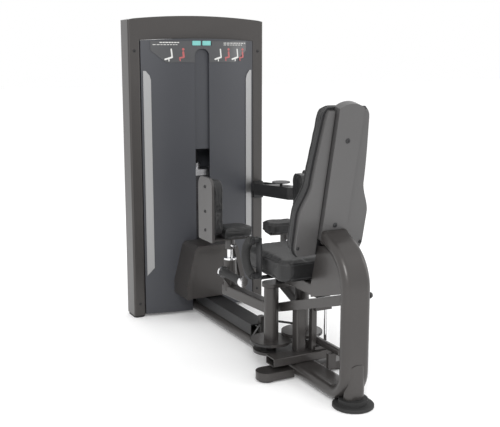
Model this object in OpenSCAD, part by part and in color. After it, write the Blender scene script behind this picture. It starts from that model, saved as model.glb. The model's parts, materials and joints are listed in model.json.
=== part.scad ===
// Hip abductor machine: weight tower, seat frame and two swinging leg arms.
// +Y points from the seat to the tower, +X to the right, +Z up. The origin is on
// the floor, below the middle of the bounding box.

/* [Overall] */
// Length from the rear foot to the back of the tower
total_l = 1640; // [1600:5:1700]
// Width across the tower uprights
tower_w = 728; // [700:4:760]
// Height of the tower at its corners
corner_h = 1480; // [1460:5:1500]
// Rise of the arched top above the corners
arch_rise = 20; // [10:2:30]

/* [Tower] */
// Face width of an upright
upright_w = 60; // [50:2:64]
// Depth of an upright
upright_d = 110; // [100:2:120]
// How far the front shroud bulges at its middle
front_bulge = 45; // [30:1:50]
// How far the rear shroud bulges at its middle
rear_bulge = 24; // [15:1:30]
// Sheet thickness of the shrouds
sheet_t = 5; // [3:1:6]
// Width of the selector slot
slot_w = 78; // [70:2:84]

/* [Weights] */
// Number of plates below the top plate
plate_n = 17; // [12:1:17]
// Plates picked up by the selector pin
lifted_n = 6; // [2:1:8]
// Height of one plate with its gap
plate_pitch = 30.5; // [30:0.5:31]
// Width of a plate
plate_w = 260; // [240:5:265]
// Half the distance between the guide rods
rod_x = 85; // [82:1:90]

/* [Base and column] */
// Width of the flat-oval frame tube
oval_w = 120; // [110:2:124]
// Thickness of the flat-oval frame tube
oval_t = 50; // [44:2:54]
// Distance of the column from the rear end of the machine
column_in = 80; // [78:1:90]
// Bend radius of the column at its top
top_bend_r = 170; // [160:5:180]
// Angle of the column's top bend
top_bend_a = 62; // [56:1:66]

/* [Hubs and arms] */
// Half the distance between the arm hubs
hub_x = 75; // [74:1:78]
// Distance of the hubs in front of the column
hub_ahead = 515; // [505:5:525]
// Outer diameter of a hub tube
hub_d = 62; // [58:1:64]
// Diameter of a hub shaft
shaft_d = 30; // [28:1:32]
// Arm tube size
arm_t = 50; // [44:2:52]
// Distance from the hub to the pad post, along the machine
post_ahead = 335; // [330:5:345]
// How far the post stands outside its hub
post_out = 32; // [28:1:38]
// How far the right arm is set outwards from the left one's mirror image
right_set = 11; // [8:1:14]

/* [Pads] */
// Thickness of the thigh pads
pad_t = 48; // [44:1:50]
// Height of the upright thigh pad
pad_h = 256; // [246:2:260]
// Length of a thigh pad, along the machine
pad_l = 140; // [130:2:146]

/* [Seat] */
// Height of the seat cushion's top
seat_z = 515; // [505:5:525]
// Lean of the backrest from upright
back_lean = 13; // [11:1:15]
// Height of the backrest cushion
back_h = 604; // [596:2:614]
// Half width of the backrest at the hips
back_low_w = 167; // [160:1:172]
// Half width of the backrest at the shoulders
back_high_w = 100; // [94:1:108]

/* [Hidden] */
$fn = 64;
eps = 0.01;
y_back = total_l / 2;
y_rear = -total_l / 2;
tower_b = y_back - rear_bulge;
tower_f = tower_b - upright_d;
half_w = tower_w / 2;
inner_w = half_w - upright_w;
floor_gap = 10;
beam_drop = 99;
column_y = y_rear + column_in;
base_z = floor_gap + oval_t / 2;
base_top = floor_gap + oval_t;
low_bend_r = 100;
leg_z = 34;
top_bend_z = 450;
hub_y = column_y + hub_ahead;
post_y = hub_y + post_ahead;
post_x = hub_x + post_out;
tower_mid = (tower_f + tower_b) / 2;
stack_y = tower_mid - 18;
stack_z = 190;
plate_d = 100;
front_y = tower_f - front_bulge;
rail_top = corner_h - beam_drop + 8;
shroud_r = (pow(inner_w, 2) + pow(front_bulge, 2)) / (2 * front_bulge);
cable_r = 3;
pulley_r = 37;
pulley_y = stack_y + pulley_r;
pulley_t = 14;
axle_d = 16;
top_pulley_z = 1280;
cable_z = 80;
low_pulley_z = cable_z + pulley_r;
yoke_y = 5;
foot_y = hub_y - 130;
hand_y = hub_y - 78;
hand_x = 198;
hand_z = 503;
hand_r = 74;
grip_d = 38;
rod_pos = [115, hub_y - 135];
rod_d = 20;
socket_z = base_top + 36;
cam_r = 88;
cam_t = 12;
cam_z = 112;
cam_step = 16;
arm_z = 260;
hub_low = 146;
hub_high = 352;
bracket_z = 356;
beam_z = 372;
seat_plate_z = 424;
socket_top = 404;
post_top = 500;
pad_z = 508;
plate_out = 106;
peg_r = 18;
peg_x = post_x + 48;
peg_z = 356;
peg_y = post_y - 26;
peg_l = 182;
back_y = column_y + 197;
back_z = 540;
back_pad_t = 46;
back_board_t = 6;
back_shell_t = 20;
spine_w = 108;
spine_out = 18;
spine_low = 69;

// ---- outlines ---------------------------------------------------------------

module rounded(w, h, r) {
    square([w - 2 * r, h], center = true);
    square([w, h - 2 * r], center = true);
    for (sx = [-1, 1], sy = [-1, 1])
        translate([sx * (w / 2 - r), sy * (h / 2 - r)]) circle(r = r);
}

module oval(w, t) {
    square([w - t, t], center = true);
    for (s = [-1, 1]) translate([s * (w - t) / 2, 0]) circle(d = t);
}

// Extrudes an outline drawn in X and Z along Y
module along_y(y0, y1) {
    translate([0, y1, 0]) rotate([90, 0, 0]) linear_extrude(y1 - y0) children();
}

// Extrudes an outline drawn in Y and Z along X
module along_x(x0, x1) {
    translate([x0, 0, 0]) rotate([90, 0, 90]) linear_extrude(x1 - x0) children();
}

module mirrored() {
    children();
    mirror([1, 0, 0]) children();
}

// ---- tower ------------------------------------------------------------------

function arch_top(x) = corner_h + arch_rise * (1 - pow(x / half_w, 2));
function arch_low(x) = corner_h - beam_drop + arch_rise / 2 * (1 - pow(x / inner_w, 2));
mitre_low = arch_low(inner_w);
mitre_high = corner_h - 50;
mitre_slope = (mitre_high - mitre_low) / upright_w;
edge_r = 9;

module upright(side) {
    gap = 0.05;
    color("dimgray") difference() {
        translate([side * (half_w - upright_w / 2), tower_mid, floor_gap])
            linear_extrude(corner_h - floor_gap) rounded(upright_w, upright_d, edge_r);
        along_y(tower_f - 1, tower_b + 1) polygon([
            [side * (inner_w - 1), mitre_low - mitre_slope - gap],
            [side * (half_w + 1), mitre_high + mitre_slope - gap],
            [side * (half_w + 1), corner_h + 1], [side * (inner_w - 1), corner_h + 1]]);
    }
}

module top_beam() {
    steps = 24;
    round_r = 3;
    color("dimgray") intersection() {
        along_y(tower_f - 1, tower_b + 1) polygon(concat(
            [[-half_w - 1, mitre_high + mitre_slope], [-half_w - 1, corner_h - round_r]],
            [for (i = [1 : steps - 1]) let (x = -half_w + tower_w * i / steps) [x, arch_top(x)]],
            [[half_w + 1, corner_h - round_r], [half_w + 1, mitre_high + mitre_slope]],
            [for (i = [0 : steps]) let (x = inner_w - 2 * inner_w * i / steps) [x, arch_low(x)]]));
        translate([0, tower_mid, 0]) linear_extrude(2 * corner_h) rounded(tower_w, upright_d, edge_r);
    }
}

module tower_base_beam() {
    color("dimgray") along_x(-inner_w + eps, inner_w - eps)
        translate([tower_mid, base_z]) rounded(upright_d - 24, oval_t, 10);
    color("dimgray") for (s = [-1, 1])
        translate([s * rod_x, stack_y, base_top]) cylinder(d = 40, h = stack_z - 30 - base_top);
}

// Rubber under the tower and the cross foot, and the round foot of the column
module feet() {
    color([0.14, 0.14, 0.14]) {
        for (s = [-1, 1]) translate([s * (half_w - upright_w / 2), tower_mid, 0])
            linear_extrude(floor_gap) rounded(upright_w - 4, upright_d - 4, 18);
        for (s = [-1, 1]) translate([s * 168, foot_y, 0]) cylinder(d = 66, h = 8);
        difference() {
            translate([0, column_y, 0]) rotate_extrude($fn = 96)
                polygon([[0, 0], [76, 0], [80, 3], [80, 11], [77, 14], [56, 17], [56, leg_z], [0, leg_z]]);
            low_bend();
        }
    }
}

// A thin curved sheet that bulges forwards, cut to an outline drawn in X and Z
module front_sheet(t, proud) {
    intersection() {
        translate([0, front_y + shroud_r, 0]) linear_extrude(corner_h) difference() {
            circle(r = shroud_r + proud, $fn = 180);
            circle(r = shroud_r + proud - t, $fn = 180);
        }
        along_y(front_y - 10, tower_f + 30) children();
    }
}

// Curved front with the selector slot, which a recessed panel closes above the weights
module front_shroud() {
    slot_top = 1340;
    panel_low = 846;
    color([0.29, 0.30, 0.33]) translate([0, front_y + sheet_t + 1.02, panel_low])
        linear_extrude(slot_top + 5 - panel_low) difference() {
            translate([-slot_w / 2 - 6, 0]) square([slot_w + 12, 9]);
            translate([-slot_w / 2 - 2, -1]) square([slot_w + 4, 7]);
        }
    color([0.29, 0.30, 0.33]) difference() {
        front_sheet(sheet_t, 0) polygon(concat(
            [[-inner_w + 1, floor_gap + 4]], [[-inner_w + 1, arch_low(inner_w) - 1]],
            [for (i = [1 : 11]) let (x = -inner_w + 2 * inner_w * i / 12) [x, arch_low(x) - 1]],
            [[inner_w - 1, arch_low(inner_w) - 1]], [[inner_w - 1, floor_gap + 4]]));
        along_y(front_y - 20, tower_f) {
            translate([0, (slot_top + 150) / 2])
                rounded(slot_w, slot_top - 150, slot_w / 2 - 4);
            translate([0, 60]) square([oval_w + 6, 120], center = true);
        }
    }
}

module rear_shroud() {
    r = (pow(inner_w, 2) + pow(rear_bulge, 2)) / (2 * rear_bulge);
    color([0.25, 0.26, 0.28]) intersection() {
        translate([0, y_back - r, floor_gap + 4]) linear_extrude(corner_h) difference() {
            circle(r = r, $fn = 240);
            circle(r = r - sheet_t, $fn = 240);
        }
        along_y(tower_b - 25, y_back + 1) polygon(concat(
            [[-inner_w + 1, floor_gap + 4]], [[-inner_w + 1, arch_low(inner_w) - 1]],
            [for (i = [1 : 11]) let (x = -inner_w + 2 * inner_w * i / 12) [x, arch_low(x) - 1]],
            [[inner_w - 1, arch_low(inner_w) - 1]], [[inner_w - 1, floor_gap + 4]]));
    }
}

module shroud_trims() {
    outer = 294;
    inner = 258;
    low = 214;
    high = 1235;
    color("silver") mirrored() front_sheet(3, 3.1) polygon([[inner, low + 40], [outer, low],
        [outer, high], [outer - 12, high], [inner + 6, high - 22], [inner, high - 44]]);
}

module placard() {
    low = 1275;
    high = 1378;
    color([0.45, 0.47, 0.50]) front_sheet(3, 3.1) difference() {
        polygon([[-185, low], [185, low], [258, low + 58], [258, high], [-258, high],
            [-258, low + 58]]);
        translate([0, 1368]) square([106, 24], center = true);
        translate([0, 1296]) rounded(slot_w, 90, slot_w / 2 - 4);
    }
}

module counter_displays() {
    color([0.30, 0.62, 0.60]) for (x = [-29, 25])
        along_y(front_y - 4, front_y) translate([x, 1368]) rounded(44, 22, 3);
}

// Tray with a recess for small things and a round bottle rest above its far end
module bottle_tray() {
    x = half_w - 40;
    rest_x = half_w - 54;
    tilt = 4;
    length = 410;
    middle = -20 - length / 2;
    color([0.18, 0.18, 0.19]) {
        translate([x, tower_f, 610]) rotate([-tilt, 0, 0]) {
            translate([0, middle, 0]) linear_extrude(40) difference() {
                rounded(78, length, 30);
                translate([0, 110]) rounded(58, 130, 14);
            }
            translate([0, middle, -20]) linear_extrude(20 + eps) rounded(70, length - 10, 28);
            translate([6, -22, 10]) cube([46, 40, 40], center = true);
        }
        along_y(tower_f - 14, tower_f - eps) translate([half_w - upright_w / 2, 612])
            rounded(54, 90, 8);
    }
    color("black") translate([rest_x, tower_f - 300, 688]) {
        cylinder(d = 90, h = 5);
        translate([0, 0, -24]) cylinder(d = 14, h = 24 + eps);
    }
}

module guide_rods() {
    color("silver") for (s = [-1, 1])
        translate([s * rod_x, stack_y, stack_z - 30]) cylinder(d = 20, h = rail_top - stack_z + 30);
}

module stack_bumpers() {
    color("black") for (s = [-1, 1]) translate([s * rod_x, stack_y, stack_z - 30 + eps])
        difference() {
            cylinder(d = 44, h = 30 - 2 * eps);
            translate([0, 0, -1]) cylinder(d = 20.1, h = 40);
        }
}

module plate(z, t) {
    difference() {
        translate([0, stack_y, z]) linear_extrude(t) rounded(plate_w, plate_d, 8);
        for (s = [-1, 1]) translate([s * rod_x, stack_y, z - 1]) cylinder(d = 22, h = t + 2);
        translate([0, stack_y, z - 1]) cylinder(d = 26, h = t + 2);
        if (t < plate_pitch) translate([0, stack_y, z + t / 2]) rotate([90, 0, 0])
            cylinder(d = 11, h = plate_d);
    }
}

module resting_plates() {
    color([0.12, 0.12, 0.13]) for (i = [0 : plate_n - lifted_n - 1])
        plate(stack_z + i * plate_pitch, plate_pitch - 0.5);
}

module lifted_plates() {
    color([0.12, 0.12, 0.13]) for (i = [plate_n - lifted_n : plate_n - 1])
        plate(stack_z + i * plate_pitch, plate_pitch - 0.5);
}

top_plate_z = stack_z + plate_n * plate_pitch;
pin_z = stack_z + (plate_n - lifted_n) * plate_pitch + (plate_pitch - 0.5) / 2;

module selector_stem() {
    color("silver") difference() {
        union() {
            translate([0, stack_y, stack_z + 20]) cylinder(d = 25, h = top_plate_z - stack_z - 20 + 40);
            translate([0, stack_y, top_plate_z + 30]) cylinder(d = 38, h = 30);
        }
        for (i = [1 : plate_n - 1]) translate([0, stack_y, stack_z + i * plate_pitch
            + (plate_pitch - 0.5) / 2]) rotate([90, 0, 0]) cylinder(d = 11, h = 60, center = true);
    }
    color([0.15, 0.15, 0.16]) difference() {
        translate([0, stack_y, top_plate_z]) linear_extrude(30) rounded(plate_w, plate_d, 8);
        for (s = [-1, 1]) translate([s * rod_x, stack_y, top_plate_z - 1]) cylinder(d = 20.2, h = 40);
    }
}

module selector_pin() {
    front = stack_y - plate_d / 2;
    color("gold") translate([0, stack_y + 10, pin_z]) rotate([90, 0, 0])
        cylinder(d = 10.8, h = plate_d / 2 + 12 + eps);
    color("red") translate([0, front - 2, pin_z]) rotate([90, 0, 0]) cylinder(d = 26, h = 22);
}

// Grooved wheel about the X axis, on an axle across the cable's plane
module pulley(z) {
    half = pulley_t / 2;
    bore_r = axle_d / 2 + 0.05;
    groove_r = pulley_r - cable_r - 0.6;
    translate([0, pulley_y, z]) rotate([0, 90, 0]) rotate_extrude($fn = 96) polygon([
        [bore_r, -half], [pulley_r + 4, -half], [pulley_r + 4, 1 - half],
        [groove_r, -2.6], [groove_r, 2.6],
        [pulley_r + 4, half - 1], [pulley_r + 4, half], [bore_r, half]]);
}

module top_pulley() {
    color("black") pulley(top_pulley_z);
}

module low_pulley() {
    color("black") pulley(low_pulley_z);
}

// Axles of the two pulleys and the cheeks that hold them
module pulley_mounts() {
    cheek_w = 40;
    inner = pulley_t / 2 + 2;
    color("gray") {
        for (z = [top_pulley_z, low_pulley_z]) translate([-16, pulley_y, z])
            rotate([0, 90, 0]) cylinder(d = axle_d, h = 32);
        for (x = [inner, -inner - 4], span = [[top_pulley_z - 20, rail_top],
                [base_top + eps, low_pulley_z + 20]])
            along_x(x, x + 4) translate([pulley_y, (span[0] + span[1]) / 2])
                square([cheek_w, span[1] - span[0]], center = true);
    }
}

// Hood over the lower pulleys, where the base meets the tower: a sloping rim
// round a front panel that is set back
module foot_housing() {
    low_w = 160;
    high_w = 108;
    low = 120;
    high = 385;
    rim = 26;
    color([0.33, 0.32, 0.32]) difference() {
        along_y(480, front_y + 12) polygon([[-low_w, low], [-low_w, 185], [-high_w - 8, high - 18],
            [-high_w + 8, high], [high_w - 8, high], [high_w + 8, high - 18], [low_w, 185],
            [low_w, low]]);
        for (y = [[479, 492], [500, front_y + 13]]) along_y(y[0], y[1])
            polygon([[rim - low_w, low - 1], [rim - low_w, 190], [rim / 2 - high_w, high - rim],
                [high_w - rim / 2, high - rim], [low_w - rim, 190], [low_w - rim, low - 1]]);
        translate([0, front_y + shroud_r, 0]) cylinder(r = shroud_r + eps, h = 500, $fn = 180);
    }
}

// One round cable: up from the stack, over the top pulley, down behind the stack,
// under the low pulley and along the raceway to the yoke
module drive_cable() {
    arc_n = 10;
    route = concat(
        [[0, stack_y, top_plate_z + 60 + eps]],
        [for (i = [0 : arc_n]) let (a = 180 - 180 * i / arc_n)
            [0, pulley_y + pulley_r * cos(a), top_pulley_z + pulley_r * sin(a)]],
        [for (i = [0 : arc_n]) let (a = -90 * i / arc_n)
            [0, pulley_y + pulley_r * cos(a), low_pulley_z + pulley_r * sin(a)]],
        [[0, yoke_y + 15 + eps, cable_z]]);
    color("black") sweep(route, cable_r);
}

function unit(v) = v / norm(v);
function tangent(p, i) = unit(p[min(i + 1, len(p) - 1)] - p[max(i - 1, 0)]);
function side_of(t) = unit(cross(t, abs(t.z) < 0.9 ? [0, 0, 1] : [0, 1, 0]));
function carried(p, i, u) = i == 0 ? side_of(tangent(p, 0))
    : let (t = tangent(p, i), v = carried(p, i - 1, u)) unit(v - (v * t) * t);

// Round tube of eight sides along a list of points
module sweep(p, r) {
    n = 8;
    m = len(p);
    rings = [for (i = [0 : m - 1]) let (t = tangent(p, i), u = carried(p, i, 0), v = cross(t, u))
        for (k = [0 : n - 1]) p[i] + r * (cos(360 * k / n) * u + sin(360 * k / n) * v)];
    faces = concat(
        [[for (k = [0 : n - 1]) k]],
        [for (i = [0 : m - 2], k = [0 : n - 1])
            [i * n + k, (i + 1) * n + k, (i + 1) * n + (k + 1) % n, i * n + (k + 1) % n]],
        [[for (k = [n - 1 : -1 : 0]) (m - 1) * n + k]]);
    polyhedron(rings, faces, convexity = 6);
}

// Block on the cable's end that pulls both arm belts
module cable_yoke() {
    color("gray") translate([0, yoke_y, cable_z - 7]) linear_extrude(78) rounded(24, 30, 5);
}

// Two flat belts from the yoke, each running on round the outside of its arm's cam
module arm_belts() {
    gap = 0.3;
    belt_t = 2;
    start = 18.5;
    far = norm([hub_x, yoke_y - hub_y]);
    turn = asin(cam_r / far);
    belt_l = sqrt(far * far - cam_r * cam_r);
    heading = 180 - atan2(hub_x, yoke_y - hub_y) - turn;
    color([0.1, 0.1, 0.1]) for (s = [0, 1]) mirror([s, 0, 0])
        translate([0, 0, cam_z + cam_step * s + 1]) {
            translate([0, yoke_y, 0]) rotate([0, 0, heading]) translate([gap, start, 0])
                cube([belt_t, belt_l - start + eps, cam_t - 2]);
            translate([-hub_x, hub_y, 0]) rotate([0, 0, heading]) rotate_extrude(angle = 100)
                translate([cam_r + gap, 0]) square([belt_t, cam_t - 2]);
        }
}

// ---- base, column and feet -----------------------------------------------------

module bend(r, a0, sweep_a) {
    rotate([0, 90, 0]) rotate([0, 0, a0]) rotate_extrude(angle = sweep_a)
        translate([r, 0]) rotate(90) oval(oval_w, oval_t);
}

module base_run() {
    translate([0, 0, base_z]) along_y(column_y + low_bend_r, tower_f + 12 - eps)
        oval(oval_w, oval_t);
}

module low_bend() {
    translate([0, column_y + low_bend_r, base_z + low_bend_r]) bend(low_bend_r, -90, 90);
}

// Floor run, rear bend, column, top bend and the end that carries the spine
module base_tube() {
    joint_gap = 0.05;
    end_y = column_y + top_bend_r * (1 - cos(top_bend_a));
    end_z = top_bend_z + top_bend_r * sin(top_bend_a);
    color("dimgray") {
        base_run();
        low_bend();
        translate([0, column_y, base_z + low_bend_r])
            linear_extrude(top_bend_z - base_z - low_bend_r - joint_gap) oval(oval_w, oval_t);
        translate([0, column_y + top_bend_r, top_bend_z])
            bend(top_bend_r, -90 - top_bend_a, top_bend_a);
        translate([0, end_y, end_z]) rotate([-top_bend_a, 0, 0])
            translate([0, 0, joint_gap]) linear_extrude(68) oval(oval_w, oval_t);
        on_back(spine_out + eps) translate([0, 96, 0]) linear_extrude(14) rounded(112, 56, 12);
    }
}

// Short leg under the bend, with an arched top behind the column
module rear_leg() {
    leg_w = 84;
    arch_r = 48.75;
    arch_z = 122;
    color("dimgray") difference() {
        intersection() {
            translate([0, column_y - 3, leg_z + eps]) linear_extrude(160) oval(leg_w, oval_t);
            along_y(column_y - 40, column_y + 40) {
                translate([0, arch_z]) circle(r = arch_r, $fn = 128);
                translate([0, arch_z / 2]) square([leg_w + 2, arch_z], center = true);
            }
        }
        low_bend();
        translate([0, column_y, base_z + low_bend_r]) linear_extrude(100) oval(oval_w, oval_t);
        translate([0, column_y + 100, 100]) cube([200, 152, 300], center = true);
    }
}

module cross_foot() {
    reach = 212;
    color("dimgray") difference() {
        translate([0, foot_y, 8]) linear_extrude(34) oval(2 * reach, 88);
        base_run();
        translate([0, foot_y, 0]) cube([oval_w, 200, 200], center = true);
    }
}

module raceway_cover() {
    color([0.10, 0.10, 0.11]) translate([0, 0, base_top]) along_y(yoke_y + 18, front_y - 1)
        difference() {
            translate([0, 25]) square([90, 50 - eps], center = true);
            translate([0, 22]) square([84, 46], center = true);
        }
}

// Rectangular cross tube on the base, with the post and lugs of the range rod
module cross_socket() {
    lug = [rod_pos.x + 16, 34];
    post = 52;
    color("dimgray") {
        translate([0, 0, base_top + eps]) along_x(-150, 150) translate([foot_y, 18]) difference() {
            rounded(70, 36, 5);
            rounded(62, 28, 3);
        }
        translate([post, foot_y, socket_z]) linear_extrude(206) square(24, center = true);
        difference() {
            for (z = [socket_z + 2, socket_z + 172]) translate([post, rod_pos.y - lug.y / 2, z])
                cube([lug.x - post, lug.y, 14]);
            translate([rod_pos.x, rod_pos.y, base_top]) cylinder(d = rod_d + 0.1, h = 300);
        }
    }
}

module hub_shafts() {
    plate_z = base_top + 24;
    color("silver") for (s = [-1, 1]) translate([s * hub_x, hub_y, plate_z]) {
        cylinder(d = shaft_d, h = bracket_z - plate_z);
        cylinder(d = 44, h = cam_z + cam_step * (s + 1) / 2 - 0.5 - plate_z);
    }
    color("dimgray") {
        translate([0, hub_y, base_top + 12]) linear_extrude(12 + eps)
            oval(2 * hub_x + 2 * cam_r - 20, 2 * cam_r - 24);
        translate([0, hub_y, base_top + eps]) linear_extrude(12) rounded(100, 130, 6);
    }
}

module seat_beam() {
    color("dimgray") {
        translate([0, hub_y, bracket_z]) linear_extrude(beam_z - bracket_z + eps)
            oval(2 * hub_x + 80, 80);
        along_y(column_y + 224, hub_y + 34) translate([0, (beam_z + seat_plate_z) / 2])
            rounded(74, seat_plate_z - beam_z, 8);
    }
}

// Inclined brace from the column down between the hubs, on a centre post
module brace_tube() {
    start = column_y + oval_t / 2 + eps;
    end = hub_y + 10;
    color("dimgray") {
        along_x(-37, 37) polygon([[start, 395], [start, 435], [end, 274], [end, 234]]);
        translate([0, hub_y - 106, socket_z + 2 * eps]) linear_extrude(280 - socket_z)
            rounded(44, 44, 6);
    }
}

// Side plates that fill the corner between the column's top bend and the seat beam
module seat_gussets() {
    steps = 8;
    r = top_bend_r - oval_t / 2 - 0.1;
    rear = column_y + top_bend_r - r;
    front = column_y + 246;
    color("dimgray") for (s = [-1, 1]) along_x(s * 41 - 4, s * 41 + 4) polygon(concat(
        [[rear, top_bend_z - 12]],
        [for (i = [0 : steps]) let (a = 180 - top_bend_a * i / steps)
            [column_y + top_bend_r + r * cos(a), top_bend_z + r * sin(a)]],
        [[column_y + 148, 596], [column_y + 200, 588], [front, seat_plate_z - eps],
            [front, beam_z]]));
}

module side_rail() {
    x = 82;
    color("dimgray") {
        along_y(column_y + 215, hub_y - 92) translate([x, 130]) rounded(26, 30, 10);
        for (y = [column_y + 240, hub_y - 94.5]) translate([40, y, base_top + eps])
            cube([36, 16, 62]);
    }
}

// Spring-loaded rod that frees the arms when the start position is set
module range_rod() {
    color("silver") translate([rod_pos.x, rod_pos.y, socket_z + 1.5]) {
        cylinder(d = rod_d, h = 200);
        translate([0, 0, 187]) cylinder(d = 32, h = 20);
    }
}

// ---- seat and backrest ------------------------------------------------------------

module seat_plate() {
    color("silver") translate([0, hub_y - 45, seat_plate_z]) linear_extrude(8)
        rounded(190, 300, 20);
}

module seat_cushion() {
    rear = column_y + 252;
    front = hub_y + 130;
    z = seat_plate_z + 8;
    color([0.2, 0.2, 0.2]) translate([0, (rear + front) / 2, z + eps]) linear_extrude(seat_z - z)
        rounded(342, front - rear, 55);
}

// D-shaped handles beside the seat
module hand_bars() {
    tab_l = hand_x - 96;
    color([0.2, 0.2, 0.2]) for (s = [-1, 1]) {
        translate([s * hand_x, hand_y, hand_z]) rotate([0, 90, 0]) rotate_extrude(angle = 180)
            translate([hand_r, 0]) circle(d = 22);
        for (e = [-1, 1]) translate([s * hand_x, hand_y, hand_z + e * hand_r])
            rotate([0, -s * 90, 0]) cylinder(d = 22, h = 21);
        translate([s * (hand_x - 23), hand_y, hand_z]) cube([6, 40, 2 * hand_r + 26], center = true);
        translate([s * (hand_x - 20) - (s > 0 ? tab_l : 0), hand_y - 20, seat_plate_z - 6 - eps])
            cube([tab_l, 40, 6]);
    }
}

module hand_grips() {
    color([0.1, 0.1, 0.1]) for (s = [-1, 1]) translate([s * hand_x, hand_y, hand_z])
        rotate([0, 90, 0]) rotate([0, 0, 9]) rotate_extrude(angle = 162)
            translate([hand_r, 0]) difference() {
                circle(d = grip_d);
                circle(d = 22);
            }
}

function blend(t) = t <= 0 ? 0 : t >= 1 ? 1 : t * t * (3 - 2 * t);
function back_half(h) = let (
    body = back_low_w + (130 - back_low_w) * blend((h - 175) / 130)
        + (back_high_w - 130) * blend((h - 260) / 500) * 1.15,
    low = h < 60 ? sqrt(1 - pow((60 - h) / 60, 2)) : 1,
    high = h > back_h - 40 ? sqrt(max(0, 1 - pow((h - back_h + 40) / 40, 2))) : 1)
    body - 48 * (1 - low) - 34 * (1 - high);

// Bottle-shaped outline of the backrest, drawn in width and height
module back_outline(inset) {
    n = 40;
    h0 = inset;
    h1 = back_h - inset;
    right = [for (i = [0 : n]) let (h = h0 + (h1 - h0) * i / n) [back_half(h) - inset, h]];
    left = [for (i = [n : -1 : 0]) [-right[i].x, right[i].y]];
    polygon(concat(right, left));
}

// Places a piece on the leaning back, with depth measured forwards from the shells
module on_back(depth) {
    translate([0, back_y, back_z]) rotate([back_lean, 0, 0])
        translate([0, -depth, 0]) rotate([90, 0, 0]) children();
}

module back_cushion() {
    color([0.2, 0.2, 0.2]) on_back(-back_shell_t - back_board_t - back_pad_t)
        linear_extrude(back_pad_t) back_outline(0);
}

module back_board() {
    color([0.15, 0.15, 0.15]) on_back(-back_shell_t - back_board_t)
        linear_extrude(back_board_t - eps) back_outline(6);
}

module back_shells() {
    color([0.42, 0.42, 0.44]) on_back(-back_shell_t) linear_extrude(back_shell_t - eps) difference() {
        back_outline(16);
        translate([0, back_h / 2]) square([spine_w + 12, back_h + 10], center = true);
    }
}

// Flat bar down the middle of the back, with an arched top
module back_spine() {
    rise = 18;
    top = back_h + 16;
    arch_r = (pow(spine_w / 2, 2) + rise * rise) / (2 * rise);
    color([0.36, 0.36, 0.38]) on_back(-back_shell_t) linear_extrude(back_shell_t + spine_out)
        intersection() {
            translate([0, (spine_low + top + 60) / 2]) rounded(spine_w, top + 60 - spine_low, 22);
            union() {
                translate([0, top - arch_r]) circle(r = arch_r, $fn = 180);
                translate([-spine_w, 0]) square([2 * spine_w, top - arch_r]);
            }
        }
}

module frame_bolts() {
    color("black") {
        on_back(0) {
            for (s = [-1, 1]) translate([s * 142, 51, 0]) cylinder(d = 14, h = 4);
            for (h = [143, 479]) translate([0, h, spine_out]) cylinder(d = 20, h = 4);
        }
        translate([oval_w / 2 + eps, column_y, 428]) rotate([0, 90, 0]) cylinder(d = 26, h = 14);
        for (s = [-1, 1], z = [70, 1330]) translate([s * (half_w - 30), tower_f, z])
            rotate([90, 0, 0]) cylinder(d = 14, h = 4);
    }
}

// ---- leg arms ---------------------------------------------------------------------

// Places the left arm's parts, or their mirror image set outwards, for the right arm
module right_side() {
    translate([hub_x, hub_y, 0]) rotate([0, 0, -right_set]) translate([-hub_x, -hub_y, 0])
        mirror([1, 0, 0]) children();
}

module arm(cam_low) {
    a = atan2(post_out, post_ahead);
    reach = norm([post_out, post_ahead]);
    color("dimgray") {
        difference() {
            union() {
                translate([-hub_x, hub_y, hub_low]) cylinder(d = hub_d, h = hub_high - hub_low);
                translate([-hub_x, hub_y, cam_low]) cylinder(r = cam_r, h = cam_t);
                translate([-hub_x, hub_y, cam_low]) cylinder(d = hub_d, h = hub_low - cam_low + 1);
                translate([-hub_x, hub_y, 0]) rotate([0, 0, a]) along_y(0, reach + 28)
                    translate([0, arm_z]) rounded(arm_t, arm_t, 8);
                translate([-post_x, post_y, arm_z]) cylinder(d = 57, h = socket_top - arm_z);
                along_y(peg_y, peg_y + 8) polygon([
                    [-peg_x - 12, peg_z - 12], [-peg_x - 12, peg_z + 12], [-peg_x + 12, peg_z + 12],
                    [-hub_x - 12, arm_z + 24], [-hub_x - 30, arm_z]]);
            }
            translate([-hub_x, hub_y, cam_low - 1]) cylinder(d = 36, h = 400);
        }
    }
}

module bushes(cam_low) {
    color("goldenrod") for (z = [cam_low, hub_high - 40]) translate([-hub_x, hub_y, z])
        difference() {
            cylinder(d = 36, h = 40);
            translate([0, 0, -1]) cylinder(d = shaft_d + 0.1, h = 60);
        }
}

// Chrome post with its collar, and the bright rings at both ends of the foot peg
module post_parts() {
    color("silver") {
        translate([-post_x, post_y, socket_top + eps]) cylinder(d = 57, h = 8);
        translate([-post_x, post_y, socket_top + 8]) cylinder(d = 25, h = post_top - socket_top - 8);
        along_y(peg_y - 12, peg_y - eps) translate([-peg_x, peg_z]) circle(d = 52);
        along_y(peg_y - 12 - peg_l - 9, peg_y - 12 - peg_l - eps) translate([-peg_x, peg_z])
            circle(d = 46);
    }
}

module peg() {
    color([0.2, 0.2, 0.2]) along_y(peg_y - 12 - peg_l, peg_y - 12 - eps)
        translate([-peg_x, peg_z]) circle(r = peg_r);
}

// Swivelling carrier of the thigh pads: socket, shelf and upright outer plate
module pad_frame() {
    plate_h = pad_h + 29;
    color([0.5, 0.5, 0.5]) difference() {
        union() {
            translate([-post_x, post_y, 452]) cylinder(d = 42, h = pad_z - 452);
            translate([-post_x - plate_out - 12, post_y - 40, pad_z - 8]) cube([200, 90, 8]);
            along_x(-post_x - plate_out - 12, -post_x - plate_out) translate([post_y + 5, pad_z - 8]) {
                translate([0, plate_h / 2]) rounded(pad_l + 6, plate_h, 42);
                translate([0, 40]) rounded(pad_l + 6, 80, 8);
            }
        }
        translate([-post_x, post_y, 440]) cylinder(d = 25.1, h = pad_z - 440 - 4);
        translate([-post_x, post_y, 472]) rotate([90, 0, 0]) cylinder(d = 10.1, h = 30);
    }
}

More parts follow.
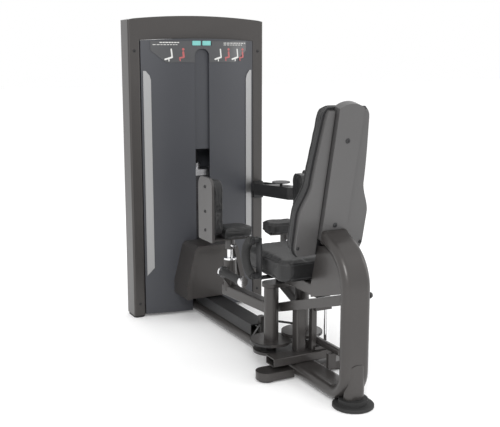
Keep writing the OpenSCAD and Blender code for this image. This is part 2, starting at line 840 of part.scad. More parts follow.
// Spring pin that locks the pad carrier on its post
module pad_pin() {
    color("silver") translate([-post_x, post_y - 14, 472]) rotate([90, 0, 0]) {
        cylinder(d = 10, h = 26);
        translate([0, 0, 16]) cylinder(d = 20, h = 20);
    }
}

module side_pad() {
    color([0.2, 0.2, 0.2]) along_x(-post_x - plate_out + 0.3, -post_x - plate_out + pad_t)
        translate([post_y + 5, pad_z + 14 + pad_h / 2]) rounded(pad_l, pad_h, 40);
}

// Pad below the thigh, with a round inner end
module under_pad() {
    reach = 157;
    color([0.2, 0.2, 0.2]) translate([-post_x - plate_out + 52, post_y + 5, pad_z + 0.3])
        linear_extrude(46) {
            translate([0, -pad_l / 2]) square([reach - 52, pad_l]);
            translate([reach - 52, 0]) rounded_end(pad_l, 52);
        }
}

// Right-hand end of a pad: a straight edge with wide round corners
module rounded_end(l, r) {
    translate([-1, -l / 2 + r]) square([r + 1, l - 2 * r]);
    for (s = [-1, 1]) intersection() {
        translate([0, s * (l / 2 - r)]) circle(r = r);
        translate([r / 2 - 1, 0]) square([r + 2, l + 2], center = true);
    }
    translate([-1, -l / 2]) square([1.5, l]);
}

upright(-1);  // left_upright
upright(1);  // right_upright
top_beam();
tower_base_beam();
feet();
front_shroud();
rear_shroud();
shroud_trims();
placard();
counter_displays();
bottle_tray();
guide_rods();
stack_bumpers();
resting_plates();
pulley_mounts();
foot_housing();
lifted_plates();
selector_stem();
selector_pin();
top_pulley();
low_pulley();
drive_cable();
cable_yoke();
arm_belts();
base_tube();
rear_leg();
cross_foot();
raceway_cover();
cross_socket();
hub_shafts();
seat_beam();
brace_tube();
seat_gussets();
side_rail();
seat_plate();
seat_cushion();
hand_bars();
hand_grips();
back_board();
back_cushion();
back_shells();
back_spine();
frame_bolts();
range_rod();
arm(cam_z);  // left_arm
bushes(cam_z);  // left_bushes
post_parts();  // left_post
peg();  // left_peg
pad_frame();  // left_pad_frame
pad_pin();  // left_pad_pin
side_pad();  // left_side_pad
under_pad();  // left_under_pad
right_side() arm(cam_z + cam_step);  // right_arm
right_side() bushes(cam_z + cam_step);  // right_bushes
right_side() post_parts();  // right_post
right_side() peg();  // right_peg
right_side() pad_frame();  // right_pad_frame
right_side() pad_pin();  // right_pad_pin
right_side() side_pad();  // right_side_pad
right_side() under_pad();  // right_under_pad
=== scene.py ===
"""Hip abductor machine: materials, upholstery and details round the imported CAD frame."""
import json
import math
import random

import bmesh
import bpy
from mathutils import Matrix, Vector
from mathutils.bvhtree import BVHTree


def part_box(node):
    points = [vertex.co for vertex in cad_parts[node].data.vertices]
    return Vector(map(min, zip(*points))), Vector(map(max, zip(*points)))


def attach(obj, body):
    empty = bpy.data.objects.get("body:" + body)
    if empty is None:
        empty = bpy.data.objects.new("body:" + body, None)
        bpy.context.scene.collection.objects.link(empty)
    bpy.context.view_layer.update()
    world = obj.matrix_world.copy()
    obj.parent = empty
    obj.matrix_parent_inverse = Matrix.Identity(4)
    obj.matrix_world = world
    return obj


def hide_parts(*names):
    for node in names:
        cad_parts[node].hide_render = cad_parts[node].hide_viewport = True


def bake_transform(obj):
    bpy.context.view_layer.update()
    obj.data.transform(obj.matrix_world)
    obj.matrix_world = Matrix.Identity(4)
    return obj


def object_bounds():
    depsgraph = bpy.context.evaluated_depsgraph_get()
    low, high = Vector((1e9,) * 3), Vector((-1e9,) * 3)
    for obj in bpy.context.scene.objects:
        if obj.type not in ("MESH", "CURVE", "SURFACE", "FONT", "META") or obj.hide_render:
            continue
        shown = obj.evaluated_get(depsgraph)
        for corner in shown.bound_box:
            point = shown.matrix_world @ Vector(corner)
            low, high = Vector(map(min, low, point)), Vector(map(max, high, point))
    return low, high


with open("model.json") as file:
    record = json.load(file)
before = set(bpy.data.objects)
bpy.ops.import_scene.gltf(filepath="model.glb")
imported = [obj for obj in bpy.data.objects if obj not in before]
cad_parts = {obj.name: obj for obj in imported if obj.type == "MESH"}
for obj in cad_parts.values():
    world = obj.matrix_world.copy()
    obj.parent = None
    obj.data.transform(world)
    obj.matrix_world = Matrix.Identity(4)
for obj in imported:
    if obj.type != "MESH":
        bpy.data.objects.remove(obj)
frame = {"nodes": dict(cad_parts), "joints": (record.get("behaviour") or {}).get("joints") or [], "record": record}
cad_low, cad_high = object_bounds()
nodes = frame["nodes"]
joints = {j["name"]: j for j in frame["joints"]}
random.seed(4)

# ---- camera, light and floor ------------------------------------------------------


def make_camera():
    data = bpy.data.cameras.new("view_camera")
    data.lens = 61.9
    data.sensor_width = 36
    cam = bpy.data.objects.new("view_camera", data)
    cam.location = (-1.751, -3.304, 1.317)
    cam.rotation_euler = (math.radians(90 - 10.53), 0, math.radians(-27.09))
    bpy.context.collection.objects.link(cam)
    bpy.context.scene.camera = cam


def area_light(name, place, target, size, power):
    data = bpy.data.lights.new(name, "AREA")
    data.shape = "RECTANGLE"
    data.size, data.size_y = size
    data.energy = power
    lamp = bpy.data.objects.new(name, data)
    lamp.location = place
    lamp.rotation_euler = (Vector(target) - Vector(place)).to_track_quat("-Z", "Y").to_euler()
    bpy.context.collection.objects.link(lamp)


def make_studio():
    world = bpy.data.worlds.new("studio")
    bpy.context.scene.world = world
    world.use_nodes = True
    sky = world.node_tree.nodes["Background"].inputs
    sky["Color"].default_value = (1, 1, 1, 1)
    sky["Strength"].default_value = 1.0
    area_light("key_light", (-2.2, -4.2, 3.2), (0, 0, 0.6), (1.6, 1.6), 100)
    area_light("fill_light", (3.4, -2.0, 2.2), (0, 0, 0.6), (1.0, 2.6), 25)
    area_light("rim_light", (0.4, 3.6, 3.0), (0, 0.2, 0.9), (3.0, 1.2), 30)
    bpy.ops.mesh.primitive_plane_add(size=60, location=(0, 0, -0.0005))
    floor = bpy.context.object
    floor.name = "studio_floor"
    white = surface("floor_white", (0.93, 0.93, 0.93), 0.85, grain=(30, 0.02, 0),
                    shade=(0.3, 0.004), rough_var=0.02)
    glow = white.node_tree.nodes["Principled BSDF"].inputs
    glow["Emission Color"].default_value = (1, 1, 1, 1)
    glow["Emission Strength"].default_value = 0.12
    floor.data.materials.append(white)
    bpy.context.scene.view_settings.view_transform = "Standard"


# ---- materials ----------------------------------------------------------------------


def surface(name, color, rough, metal=0.0, coat=0.0, grain=(400, 0.3, 0.0002),
            shade=(3.0, 0.12), rough_var=0.08, stretch=(1, 1, 1), sheen=0.0, cells=None):
    """A procedural surface: uneven colour, uneven gloss, and a fine grain in the bump.

    grain is (scale per metre, strength, depth in metres), shade is (scale, amount) and
    cells is the same as grain for a leather-like cell pattern.
    """
    mat = bpy.data.materials.new(name)
    mat.use_nodes = True
    tree = mat.node_tree
    link = tree.links.new
    bsdf = tree.nodes["Principled BSDF"]
    coord = tree.nodes.new("ShaderNodeTexCoord")
    mapping = tree.nodes.new("ShaderNodeMapping")
    mapping.inputs["Scale"].default_value = stretch
    link(coord.outputs["Object"], mapping.inputs["Vector"])

    blotch = tree.nodes.new("ShaderNodeTexNoise")
    blotch.inputs["Scale"].default_value = shade[0]
    blotch.inputs["Detail"].default_value = 6
    link(mapping.outputs["Vector"], blotch.inputs["Vector"])
    ramp = tree.nodes.new("ShaderNodeValToRGB")
    ramp.color_ramp.elements[0].position = 0.3
    ramp.color_ramp.elements[1].position = 0.7
    ramp.color_ramp.elements[0].color = (*[c * (1 - shade[1]) for c in color], 1)
    ramp.color_ramp.elements[1].color = (*[min(1, c * (1 + shade[1])) for c in color], 1)
    link(blotch.outputs["Fac"], ramp.inputs["Fac"])
    link(ramp.outputs["Color"], bsdf.inputs["Base Color"])

    fine = tree.nodes.new("ShaderNodeTexNoise")
    fine.inputs["Scale"].default_value = grain[0]
    fine.inputs["Detail"].default_value = 4
    link(mapping.outputs["Vector"], fine.inputs["Vector"])
    gloss = tree.nodes.new("ShaderNodeMapRange")
    gloss.inputs["To Min"].default_value = max(0.02, rough - rough_var)
    gloss.inputs["To Max"].default_value = min(1.0, rough + rough_var)
    link(fine.outputs["Fac"], gloss.inputs["Value"])
    link(gloss.outputs["Result"], bsdf.inputs["Roughness"])

    last = None
    for pattern in (fine if grain[2] else None, cells):
        if pattern is None:
            continue
        bump = tree.nodes.new("ShaderNodeBump")
        if pattern is cells:
            source = tree.nodes.new("ShaderNodeTexVoronoi")
            source.feature = "DISTANCE_TO_EDGE"
            source.inputs["Scale"].default_value = cells[0]
            link(mapping.outputs["Vector"], source.inputs["Vector"])
            limit = tree.nodes.new("ShaderNodeMapRange")
            limit.inputs["From Max"].default_value = 0.25
            link(source.outputs["Distance"], limit.inputs["Value"])
            height = limit.outputs["Result"]
            bump.inputs["Strength"].default_value, bump.inputs["Distance"].default_value = cells[1:]
        else:
            height = fine.outputs["Fac"]
            bump.inputs["Strength"].default_value, bump.inputs["Distance"].default_value = grain[1:]
        link(height, bump.inputs["Height"])
        if last is not None:
            link(last.outputs["Normal"], bump.inputs["Normal"])
        last = bump
    if last is not None:
        link(last.outputs["Normal"], bsdf.inputs["Normal"])
    bsdf.inputs["Metallic"].default_value = metal
    bsdf.inputs["Coat Weight"].default_value = coat
    bsdf.inputs["Coat Roughness"].default_value = 0.15
    bsdf.inputs["Sheen Weight"].default_value = sheen
    return mat


PAINT = surface("frame_paint", (0.052, 0.048, 0.046), 0.35, metal=0.4, coat=0.2,
                grain=(900, 0.25, 0.0003), shade=(2.2, 0.10))
SHROUD = surface("shroud_plastic", (0.038, 0.040, 0.047), 0.42, grain=(1100, 0.3, 0.0003),
                 shade=(1.5, 0.10))
TRIM = surface("trim_silver", (0.30, 0.30, 0.30), 0.36, metal=0.75, grain=(700, 0.2, 0.0002),
               shade=(4, 0.06), stretch=(1, 1, 0.05))
PRINT = surface("placard_print", (0.046, 0.047, 0.050), 0.34, coat=0.4, grain=(300, 0.1, 0.0001),
                shade=(6, 0.08))
DISPLAY = surface("display", (0.16, 0.46, 0.43), 0.18, coat=0.6, grain=(900, 0.1, 0.00005),
                  shade=(20, 0.10))
BLACK = surface("black_plastic", (0.016, 0.016, 0.017), 0.5, grain=(1500, 0.4, 0.0003),
                shade=(5, 0.2))
RUBBER = surface("rubber_black", (0.014, 0.014, 0.014), 0.70, grain=(800, 0.5, 0.0004),
                 shade=(8, 0.25))
CHROME = surface("chrome", (0.80, 0.80, 0.81), 0.09, metal=1.0, grain=(200, 0.05, 0.00005),
                 shade=(4, 0.03), rough_var=0.03)
STEEL = surface("steel", (0.50, 0.50, 0.51), 0.30, metal=1.0, grain=(500, 0.3, 0.0001),
                shade=(5, 0.08), stretch=(1, 1, 0.1))
DARK_STEEL = surface("dark_steel", (0.050, 0.048, 0.047), 0.34, metal=0.5,
                     grain=(500, 0.3, 0.0001), shade=(5, 0.1))
IRON = surface("iron", (0.022, 0.022, 0.024), 0.55, metal=0.3, grain=(350, 0.5, 0.0006),
               shade=(6, 0.25))
BRONZE = surface("bronze", (0.42, 0.29, 0.13), 0.35, metal=1.0, grain=(600, 0.3, 0.0002),
                 shade=(8, 0.15))
VINYL = surface("upholstery", (0.0065, 0.0065, 0.007), 0.46, coat=0.04, sheen=0.02,
                grain=(500, 0.35, 0.0004), shade=(5, 0.18), cells=(620, 0.45, 0.0003))
SHELL = surface("back_shell", (0.072, 0.070, 0.070), 0.38, coat=0.12,
                grain=(1000, 0.25, 0.0002), shade=(2.5, 0.08))
PLATE = surface("pad_plate", (0.056, 0.053, 0.052), 0.38, metal=0.2, coat=0.2,
                grain=(900, 0.25, 0.0003), shade=(3, 0.08))
CABLE = surface("cable", (0.012, 0.012, 0.012), 0.42, grain=(600, 0.3, 0.0003), shade=(20, 0.2))
KNOB = surface("knob", (0.32, 0.025, 0.02), 0.28, coat=0.5, grain=(600, 0.1, 0.0001),
               shade=(10, 0.12))
THREAD = surface("thread", (0.030, 0.030, 0.031), 0.6, grain=(2500, 0.8, 0.0003), shade=(30, 0.3))
WHITE_INK = surface("white_ink", (0.62, 0.62, 0.60), 0.4, grain=(900, 0.1, 0.00005),
                    shade=(30, 0.05))
RED_INK = surface("red_ink", (0.36, 0.09, 0.09), 0.4, grain=(900, 0.1, 0.00005), shade=(30, 0.08))

BY_SLOT = {
    "frame_paint": PAINT, "shroud_plastic": SHROUD, "trim_silver": TRIM, "placard_print": PRINT,
    "display": DISPLAY, "black_plastic": BLACK, "rubber_black": RUBBER, "chrome": CHROME,
    "steel": STEEL, "dark_steel": DARK_STEEL, "iron": IRON, "bronze": BRONZE,
    "upholstery": VINYL, "back_shell": SHELL, "pad_plate": PLATE, "cable": CABLE, "knob": KNOB,
}


def paint_nodes():
    for part in frame["record"]["subparts"]:
        data = nodes[part["node"]].data
        data.materials.clear()
        data.materials.append(BY_SLOT[part["material_slot"]])


def soften(names, width, segments=3):
    """Small rounded edges on CAD pieces, so that they catch the light."""
    for name in names:
        bevel = nodes[name].modifiers.new("edge", "BEVEL")
        bevel.width = width
        bevel.segments = segments
        bevel.limit_method = "ANGLE"
        bevel.angle_limit = math.radians(40)
        bevel.harden_normals = True
        bevel.use_clamp_overlap = True


# ---- building helpers ---------------------------------------------------------------


def add_piece(name, mesh, body, material, stands_for=()):
    obj = bpy.data.objects.new(name, mesh)
    bpy.context.collection.objects.link(obj)
    mesh.materials.clear()
    mesh.materials.append(material)
    if body:
        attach(obj, body)
    if stands_for:
        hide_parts(*stands_for)
    return obj


def mesh_from(bm, name, smooth=True):
    bmesh.ops.recalc_face_normals(bm, faces=bm.faces)
    mesh = bpy.data.meshes.new(name)
    bm.to_mesh(mesh)
    bm.free()
    for poly in mesh.polygons:
        poly.use_smooth = smooth
    return mesh


def tube_into(bm, points, radius, closed=False, sides=8):
    """A round tube along points, built ring by ring. radius is one value or one per point."""
    count = len(points)
    radii = radius if isinstance(radius, list) else [radius] * count
    rings = []
    up = None
    for i, p in enumerate(points):
        ahead = points[(i + 1) % count] if closed or i < count - 1 else p
        behind = points[i - 1] if closed or i > 0 else p
        along = (ahead - behind).normalized()
        if up is None:
            up = along.orthogonal()
        up = (up - along * up.dot(along)).normalized()
        side = along.cross(up)
        rings.append([bm.verts.new(p + radii[i] * (math.cos(t) * up + math.sin(t) * side))
                      for t in (2 * math.pi * k / sides for k in range(sides))])
    for i in range(count if closed else count - 1):
        a, b = rings[i], rings[(i + 1) % count]
        for k in range(sides):
            bm.faces.new((a[k], a[(k + 1) % sides], b[(k + 1) % sides], b[k]))
    if not closed:
        bm.faces.new(rings[0][::-1])
        bm.faces.new(rings[-1])


def tube_mesh(name, points, radius, closed=False, sides=8):
    bm = bmesh.new()
    tube_into(bm, points, radius, closed, sides)
    return mesh_from(bm, name)


# ---- upholstery ---------------------------------------------------------------------


PRESSURE = 4
BLOW_FRAMES = 20


def inflate(node, name, voxel, inset, cap, flat_side):
    """Blows a copy of a CAD pad up as cloth, and keeps its mounting face flat.

    The copy is remeshed at voxel, shrunk by inset, and swells by no more than cap, all in
    metres. flat_side is (point, outward normal) of the face that rests on its plate.
    """
    start = nodes[node].data.copy()
    obj = bpy.data.objects.new(name, start)
    bpy.context.collection.objects.link(obj)
    bpy.context.view_layer.objects.active = obj
    remesh = obj.modifiers.new("remesh", "REMESH")
    remesh.mode = "VOXEL"
    remesh.voxel_size = voxel
    bpy.ops.object.select_all(action="DESELECT")
    obj.select_set(True)
    bpy.ops.object.modifier_apply(modifier="remesh")
    mesh = obj.data

    relax = obj.modifiers.new("relax", "SMOOTH")
    relax.factor = 0.5
    relax.iterations = 5
    bpy.ops.object.modifier_apply(modifier="relax")
    for v in mesh.vertices:
        v.co -= v.normal * inset
    rest = [v.co.copy() for v in mesh.vertices]

    cloth = obj.modifiers.new("cloth", "CLOTH")
    cloth.settings.use_pressure = True
    cloth.settings.uniform_pressure_force = PRESSURE
    cloth.settings.effector_weights.gravity = 0
    cloth.settings.quality = 5
    cloth.point_cache.frame_start = 1
    cloth.point_cache.frame_end = BLOW_FRAMES
    for step in range(1, BLOW_FRAMES + 1):
        bpy.context.scene.frame_set(step)
    evaluated = obj.evaluated_get(bpy.context.evaluated_depsgraph_get())
    blown = [v.co.copy() for v in evaluated.data.vertices]
    obj.modifiers.remove(cloth)
    bpy.context.scene.frame_set(1)
    for v, here, there in zip(mesh.vertices, rest, blown):
        move = there - here
        if move.length > cap:
            move *= cap / move.length
        v.co = here + move

    point, normal = flat_side
    for v in mesh.vertices:
        above = (v.co - point).dot(normal)
        if above > 0:
            v.co -= normal * above
    divide = obj.modifiers.new("divide", "SUBSURF")
    divide.levels = 1
    divide.render_levels = 1
    bpy.ops.object.modifier_apply(modifier="divide")
    for poly in obj.data.polygons:
        poly.use_smooth = True
    obj.data.materials.clear()
    obj.data.materials.append(VINYL)
    return obj


SEAM_PROUD = 0.35
SEAM_SMOOTHING = 3


def seam_on(pad, outline, name, body, radius=0.0017):
    """A welt that lies in the pad's surface along an outline drawn near it."""
    tree = BVHTree.FromPolygons([v.co for v in pad.data.vertices],
                                [p.vertices for p in pad.data.polygons])
    path = []
    for p in outline:
        spot, normal, _, _ = tree.find_nearest(p)
        path.append(spot + normal * radius * SEAM_PROUD)
    for _ in range(SEAM_SMOOTHING):
        path = [(path[i - 1] + path[i] * 2 + path[(i + 1) % len(path)]) / 4
                for i in range(len(path))]
    return add_piece(name, tube_mesh(name, path, radius, closed=True, sides=6), body,
                     THREAD)


def rounded_outline(half_w, half_h, corner, count=20):
    """Points round a rectangle with round corners, in its own plane."""
    points = []
    for quarter, (sx, sy) in enumerate(((1, 1), (-1, 1), (-1, -1), (1, -1))):
        for i in range(count):
            t = math.radians(90 * (quarter + i / (count - 1)))
            points.append((sx * (half_w - corner) + corner * math.cos(t),
                           sy * (half_h - corner) + corner * math.sin(t)))
    return spaced(points, 4 * count)


def spaced(points, count):
    """The same closed outline with evenly spaced points."""
    n = len(points)
    lengths = [math.dist(points[i], points[(i + 1) % n]) for i in range(n)]
    total = sum(lengths)
    result, i, walked = [], 0, 0.0
    for k in range(count):
        goal = total * k / count
        while walked + lengths[i] < goal:
            walked += lengths[i]
            i += 1
        part = (goal - walked) / max(lengths[i], 1e-9)
        a, b = points[i], points[(i + 1) % n]
        result.append((a[0] + (b[0] - a[0]) * part, a[1] + (b[1] - a[1]) * part))
    return result


RIGHT_SET = math.radians(11)
SIDE_CORNER = 0.040
UNDER_CORNER = 0.030
SEAT_CORNER = 0.055


def side_frame(side):
    """Carries a point on the left arm over to the same point on the given side's arm."""
    if side == "left":
        return Matrix.Identity(4)
    hub = Vector(joints["right_arm_swing"]["pos_m"])
    hub.z = 0
    return (Matrix.Translation(hub) @ Matrix.Rotation(-RIGHT_SET, 4, "Z")
            @ Matrix.Translation(-hub) @ Matrix.Scale(-1, 4, (1, 0, 0)))


def make_thigh_pads():
    lows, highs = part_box("left_side_pad")
    mid = (lows + highs) / 2
    size = highs - lows
    u_lows, u_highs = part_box("left_under_pad")
    for side in ("left", "right"):
        place = side_frame(side)
        body = f"{side}_pad_carrier"
        turn = place.to_3x3()
        back_face = place @ Vector((lows.x, mid.y, mid.z))
        pad = inflate(f"{side}_side_pad", f"{side}_thigh_pad", 0.005, 0.004, 0.007,
                      (back_face, turn @ Vector((-1, 0, 0))))
        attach(pad, body)
        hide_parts(f"{side}_side_pad")
        for tag, x in (("front", highs.x - 0.004), ("rear", lows.x + 0.009)):
            line = [place @ Vector((x, mid.y + y, mid.z + z)) for y, z in
                    rounded_outline(size.y / 2, size.z / 2, SIDE_CORNER)]
            seam_on(pad, line, f"{side}_thigh_pad_{tag}_seam", body)

        under_face = place @ Vector((u_lows.x, mid.y, u_lows.z))
        under = inflate(f"{side}_under_pad", f"{side}_rest_pad", 0.005, 0.004, 0.006,
                        (under_face, Vector((0, 0, -1))))
        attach(under, body)
        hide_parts(f"{side}_under_pad")
        centre = (u_lows + u_highs) / 2
        half = (u_highs - u_lows) / 2
        for tag, z in (("top", u_highs.z - 0.005), ("low", u_lows.z + 0.008)):
            line = [place @ Vector((centre.x + x, centre.y + y, z)) for x, y in
                    rounded_outline(half.x, half.y, UNDER_CORNER)]
            seam_on(under, line, f"{side}_rest_pad_{tag}_seam", body)


def make_seat():
    low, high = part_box("seat_cushion")
    mid, half = (low + high) / 2, (high - low) / 2
    seat = inflate("seat_cushion", "seat_pad", 0.006, 0.006, 0.011,
                   (Vector((mid.x, mid.y, low.z)), Vector((0, 0, -1))))
    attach(seat, "root")
    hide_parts("seat_cushion")
    for tag, z in (("top", high.z - 0.010), ("low", low.z + 0.012)):
        line = [Vector((mid.x + x, mid.y + y, z)) for x, y in
                rounded_outline(half.x, half.y, SEAT_CORNER, 26)]
        seam_on(seat, line, f"seat_pad_{tag}_seam", "root", 0.002)


LEAN = math.radians(13)
BACK_L = 0.604
BOARD_T = 0.006
SHELL_T = 0.020
BACK_PAD_T = 0.046
HIP, WAIST, SHOULDER = 0.167, 0.130, 0.100
LOW_ROUND = 0.060
HIGH_ROUND = 0.040


def back_place():
    """Own frame of the leaning back: X right, Y up along it, Z out to the rear.

    The cushion's lowest edge fixes the height, and the shells' rear face the depth.
    """
    up = Vector((0, -math.sin(LEAN), math.cos(LEAN)))
    out = Vector((0, -math.cos(LEAN), -math.sin(LEAN)))
    bottom = min(v.co.dot(up) for v in nodes["back_cushion"].data.vertices)
    rear = max(v.co.dot(out) for v in nodes["back_shells"].data.vertices)
    origin = up * bottom + out * rear
    return Matrix(((1, 0, 0, origin.x), (0, up.y, out.y, origin.y),
                   (0, up.z, out.z, origin.z), (0, 0, 0, 1)))


def back_half(h):
    """Half width of the bottle-shaped back at height h along it, in metres."""
    def ease(t):
        t = min(1, max(0, t))
        return t * t * (3 - 2 * t)
    body = (HIP + (WAIST - HIP) * ease((h - 0.175) / 0.130)
            + (SHOULDER - WAIST) * ease((h - 0.260) / 0.500) * 1.15)
    low = math.sqrt(1 - ((LOW_ROUND - h) / LOW_ROUND) ** 2) if 0 <= h < LOW_ROUND else 1
    high = 1.0
    if h > BACK_L - HIGH_ROUND:
        high = math.sqrt(max(0, 1 - ((h - BACK_L + HIGH_ROUND) / HIGH_ROUND) ** 2))
    return body - 0.048 * (1 - low) - 0.034 * (1 - high)


def back_outline(steps=60):
    """Points round the back in its own frame's X and Y."""
    right = [(back_half(BACK_L * i / steps), BACK_L * i / steps) for i in range(steps + 1)]
    left = [(-x, h) for x, h in reversed(right)]
    return spaced(right + left, 4 * steps)


def make_back():
    place = back_place()
    out = place.to_3x3() @ Vector((0, 0, 1))
    pad_rear = -BOARD_T - SHELL_T
    face = place @ Vector((0, BACK_L / 2, pad_rear))
    back = inflate("back_cushion", "back_pad", 0.006, 0.005, 0.010, (face, out))
    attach(back, "root")
    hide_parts("back_cushion")
    for tag, depth in (("front", 0.006), ("rear", BACK_PAD_T - 0.010)):
        z = pad_rear - BACK_PAD_T + depth
        line = [place @ Vector((x, h, z)) for x, h in back_outline()]
        seam_on(back, line, f"back_pad_{tag}_seam", "root", 0.002)


# ---- cable, belts, grips, bolts and placard ---------------------------------------------

PULLEY_R = 0.037
CABLE_R = 0.003
CABLE_Z = 0.080
TOP_WHEEL = Vector(joints["top_pulley_spin"]["pos_m"])
LOW_WHEEL = Vector(joints["low_pulley_spin"]["pos_m"])
CAM_R = 0.088
YOKE_Y = 0.005
YOKE_HALF = 0.0188
BELT_GAP = 0.0003
BELT_T = 0.002
BELT_H = 0.010
BELT_WRAP = math.radians(100)


def straight(a, b, steps):
    """Evenly spaced points from a to b."""
    return [Vector(a).lerp(Vector(b), i / steps) for i in range(steps + 1)]


def make_cable():
    """The cable in three pieces: two straight runs and the run round the two pulleys."""
    stem_top = Vector((0, TOP_WHEEL.y - PULLEY_R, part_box("selector_stem")[1].z))
    over = Vector((0, stem_top.y, TOP_WHEEL.z))
    front = add_piece("cable_front_run", tube_mesh("cable_front_run", straight(stem_top, over, 24),
                                                   CABLE_R, sides=10), None, CABLE)
    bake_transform(front)

    arc = [Vector((0, TOP_WHEEL.y + PULLEY_R * math.cos(t), TOP_WHEEL.z + PULLEY_R * math.sin(t)))
           for t in (math.pi * (1 - i / 20) for i in range(21))]
    arc += [Vector((0, LOW_WHEEL.y + PULLEY_R * math.cos(t), LOW_WHEEL.z + PULLEY_R * math.sin(t)))
            for t in (-math.pi / 2 * i / 10 for i in range(11))]
    add_piece("cable_rear_run", tube_mesh("cable_rear_run", arc, CABLE_R, sides=10), "root",
              CABLE, ["drive_cable"])

    leave = Vector((0, LOW_WHEEL.y, CABLE_Z))
    yoke = Vector((0, YOKE_Y + 0.014, CABLE_Z))
    low = add_piece("cable_low_run", tube_mesh("cable_low_run", straight(leave, yoke, 30),
                                               CABLE_R, sides=10), None, CABLE)
    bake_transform(low)


def make_belts():
    """A flat belt from the yoke to each cam, and on round the cam's outside."""
    hub = Vector(joints["left_arm_swing"]["pos_m"]).to_2d()
    far = (hub - Vector((0, YOKE_Y))).length
    heading = math.pi - math.atan2(-hub.x, YOKE_Y - hub.y) - math.asin(CAM_R / far)
    free = math.sqrt(far ** 2 - CAM_R ** 2)
    along = Vector((-math.sin(heading), math.cos(heading)))
    outward = Vector((math.cos(heading), math.sin(heading)))
    yoke = Vector((0, YOKE_Y))
    run, wrap = 16, 24
    for side, flip, low in (("left", 1, 0.113), ("right", -1, 0.129)):
        line = [yoke + along * (YOKE_HALF + (free - YOKE_HALF) * i / run) for i in range(run + 1)]
        turns = [BELT_WRAP * i / wrap for i in range(1, wrap + 1)]
        line += [hub + CAM_R * Vector((math.cos(heading + t), math.sin(heading + t)))
                 for t in turns]
        normals = [outward] * (run + 1) + [Vector((math.cos(heading + t), math.sin(heading + t)))
                                          for t in turns]
        bm = bmesh.new()
        rings = []
        for p, n in zip(line, normals):
            inner, outer = p + n * BELT_GAP, p + n * (BELT_GAP + BELT_T)
            rings.append([bm.verts.new((flip * q.x, q.y, z)) for q, z in
                          ((inner, low), (outer, low), (outer, low + BELT_H),
                           (inner, low + BELT_H))])
        for a, b in zip(rings, rings[1:]):
            for k in range(4):
                bm.faces.new((a[k], a[(k + 1) % 4], b[(k + 1) % 4], b[k]))
        bm.faces.new(rings[0][::-1])
        bm.faces.new(rings[-1])
        belt = add_piece(f"{side}_belt", mesh_from(bm, f"{side}_belt", False), None, CABLE)
        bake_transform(belt)
        if side == "left":
            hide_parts("arm_belts")


HAND_R = 0.074
GRIP_R = 0.019
GRIP_RIB_R = 0.0188
GRIP_GROOVE = 0.0009
GRIP_END_R = 0.0165
GRIP_RINGS = 96


def make_grips():
    """Rubber sleeves with shallow ribs round the two D-shaped handles."""
    bm = bmesh.new()
    low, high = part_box("hand_grips")
    mid_z = (low.z + high.z) / 2
    turns = [math.radians(9 + 162 * i / GRIP_RINGS) for i in range(GRIP_RINGS + 1)]
    radii = [GRIP_RIB_R - (GRIP_GROOVE if i % 4 < 2 else 0) for i in range(GRIP_RINGS + 1)]
    radii[0] = radii[-1] = GRIP_END_R
    y = high.y - GRIP_R - HAND_R
    for side in (-1, 1):
        x = side * (high.x - GRIP_R)
        points = [Vector((x, y + HAND_R * math.sin(t), mid_z - HAND_R * math.cos(t)))
                  for t in turns]
        tube_into(bm, points, radii, sides=24)
    add_piece("ribbed_grips", mesh_from(bm, "ribbed_grips"), "root", RUBBER,
              ["hand_grips"])


BOLT_H = 0.004
PAD_BOLT_R = 0.0075
SPINE_BOLT_R = 0.010
TOWER_BOLT_R = 0.007
SPINE_OUT = 0.018
KNOB_R = 0.013
KNOB_H = 0.014
BOLT_PROFILE = ((1.0, 0.0), (1.0, 0.25), (0.9, 0.62), (0.72, 0.88), (0.52, 1.0))
SOCKET_DEPTHS = (1.0, 0.45)
SOCKET_R = 0.40


def bolt_into(bm, place, radius, height):
    """A button head with a hex socket. place puts its seat in the XY plane, head up Z."""
    sides = 24
    rings = [[bm.verts.new(place @ Vector((radius * r * math.cos(t), radius * r * math.sin(t),
                                           height * z)))
              for t in (2 * math.pi * k / sides for k in range(sides))] for r, z in BOLT_PROFILE]
    for lift in SOCKET_DEPTHS:
        ring = []
        for k in range(sides):
            t = 2 * math.pi * k / sides
            off = (t % (math.pi / 3)) - math.pi / 6
            r = radius * SOCKET_R / math.cos(off)
            ring.append(bm.verts.new(place @ Vector((r * math.cos(t), r * math.sin(t),
                                                     height * lift))))
        rings.append(ring)
    for a, b in zip(rings, rings[1:]):
        for k in range(sides):
            bm.faces.new((a[k], a[(k + 1) % sides], b[(k + 1) % sides], b[k]))
    bm.faces.new(rings[0][::-1])
    bm.faces.new(rings[-1])


def facing(point, normal):
    """Frame at point with Z along normal."""
    return Matrix.Translation(point) @ normal.to_track_quat("Z", "Y").to_matrix().to_4x4()


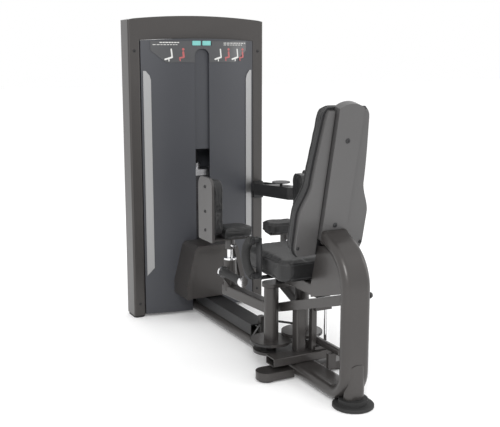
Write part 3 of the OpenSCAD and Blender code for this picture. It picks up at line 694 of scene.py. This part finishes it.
def make_bolts():
    """Heads over the CAD bolts: backrest, spine, tower, column knob and pad plates."""
    back = back_place()
    bm = bmesh.new()
    for x in (-0.142, 0.142):
        bolt_into(bm, back @ Matrix.Translation((x, 0.051, 0)), PAD_BOLT_R, BOLT_H)
    for h in (0.143, 0.479):
        bolt_into(bm, back @ Matrix.Translation((0, h, SPINE_OUT)), SPINE_BOLT_R, BOLT_H)
    tower_low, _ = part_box("left_upright")
    for x in (-1, 1):
        for z in (0.070, 1.330):
            spot = Vector((x * (-tower_low.x - 0.030), tower_low.y, z))
            bolt_into(bm, facing(spot, Vector((0, -1, 0))), TOWER_BOLT_R, BOLT_H)
    knob = Vector((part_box("base_tube")[1].x, cad_low.y + 0.080, 0.428))
    bolt_into(bm, facing(knob, Vector((1, 0, 0))), KNOB_R, KNOB_H)
    add_piece("frame_bolt_heads", mesh_from(bm, "frame_bolt_heads", False), "root",
              BLACK, ["frame_bolts"])

    plate_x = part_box("left_pad_frame")[0].x
    centre = (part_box("left_side_pad")[0].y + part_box("left_side_pad")[1].y) / 2
    for side in ("left", "right"):
        bm = bmesh.new()
        for z in (0.548, 0.632, 0.742):
            place = facing(Vector((plate_x, centre, z)), Vector((-1, 0, 0)))
            bolt_into(bm, side_frame(side) @ place, PAD_BOLT_R, BOLT_H)
        add_piece(f"{side}_pad_bolts", mesh_from(bm, f"{side}_pad_bolts", False),
                  f"{side}_pad_carrier", BLACK)


SHEET_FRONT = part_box("front_shroud")[0].y
SHEET_R = 1.0493
PLACARD_PROUD = 0.0031
INK_FACE = 0.0005
INK_BACK = 0.0001
# bars of the pictograms: start, end and width, from the pictogram's own x
SEAT_BARS = ((0, 1.338, 0.004, 1.300, 0.007), (0.004, 1.300, -0.030, 1.290, 0.008),
             (-0.012, 1.290, -0.012, 1.282, 0.005))
SITTER_BARS = ((0, 1.324, 0.002, 1.302, 0.010), (0.002, 1.300, -0.018, 1.297, 0.008),
               (-0.018, 1.296, -0.016, 1.284, 0.006))
# rows of dashes: start, end, height and width
DASH_ROWS = ((-0.212, -0.120, 1.3705, 0.0045), (-0.246, -0.128, 1.3600, 0.0028),
             (0.122, 0.252, 1.3690, 0.0032), (0.122, 0.232, 1.3600, 0.0028))
DASH_GAP = 0.0065


def on_sheet(x, z, lift):
    """A point just in front of the placard on the curved shroud."""
    r = SHEET_R + PLACARD_PROUD + lift
    return Vector((x, SHEET_FRONT + SHEET_R - math.sqrt(r * r - x * x), z))


def print_into(bm, outline):
    """A thin printed shape on the placard; outline runs round it in X and Z."""
    outer = [bm.verts.new(on_sheet(x, z, INK_FACE)) for x, z in outline]
    inner = [bm.verts.new(on_sheet(x, z, INK_BACK)) for x, z in outline]
    n = len(outline)
    bm.faces.new(outer)
    bm.faces.new(inner[::-1])
    for k in range(n):
        bm.faces.new((outer[k], outer[(k + 1) % n], inner[(k + 1) % n], inner[k]))


def bar(x0, z0, x1, z1, width):
    """Outline of a round-ended bar between two points."""
    angle = math.atan2(z1 - z0, x1 - x0)
    points = []
    for (x, z), start in (((x1, z1), -90), ((x0, z0), 90)):
        for k in range(7):
            t = angle + math.radians(start + 30 * k)
            points.append((x + width / 2 * math.cos(t), z + width / 2 * math.sin(t)))
    return points


def disc(x, z, r):
    """Outline of a round dot."""
    return [(x + r * math.cos(t), z + r * math.sin(t))
            for t in (2 * math.pi * k / 16 for k in range(16))]


def bars_into(bm, x, bars):
    for x0, z0, x1, z1, width in bars:
        print_into(bm, bar(x + x0, z0, x + x1, z1, width))


def make_print():
    """Seat and sitter pictograms, and rows of plain dashes where a title would be."""
    white, red = bmesh.new(), bmesh.new()
    for x in (-0.158, 0.102, 0.202):
        bars_into(white, x, SEAT_BARS)
    for x in (-0.098, 0.150, 0.236):
        print_into(red, disc(x, 1.338, 0.0065))
        bars_into(red, x, SITTER_BARS)
    for start, end, z, width in DASH_ROWS:
        x = start
        while x < end:
            dash = random.uniform(0.006, 0.014)
            print_into(white, bar(x, z, min(x + dash, end), z, width))
            x += dash + DASH_GAP
    add_piece("placard_white_print", mesh_from(white, "placard_white_print", False), "root",
              WHITE_INK)
    add_piece("placard_red_print", mesh_from(red, "placard_red_print", False), "root",
              RED_INK)


# ---- finish -------------------------------------------------------------------------

paint_nodes()
make_camera()
make_studio()
soften(["back_spine"], 0.006)
soften(["foot_housing", "back_shells", "bottle_tray", "left_peg", "right_peg"], 0.004)
soften(["left_pad_frame", "right_pad_frame", "seat_beam", "cross_socket", "brace_tube",
        "raceway_cover", "seat_gussets"], 0.0015, 2)
make_thigh_pads()
make_seat()
make_back()
make_cable()
make_belts()
make_grips()
make_bolts()
make_print()
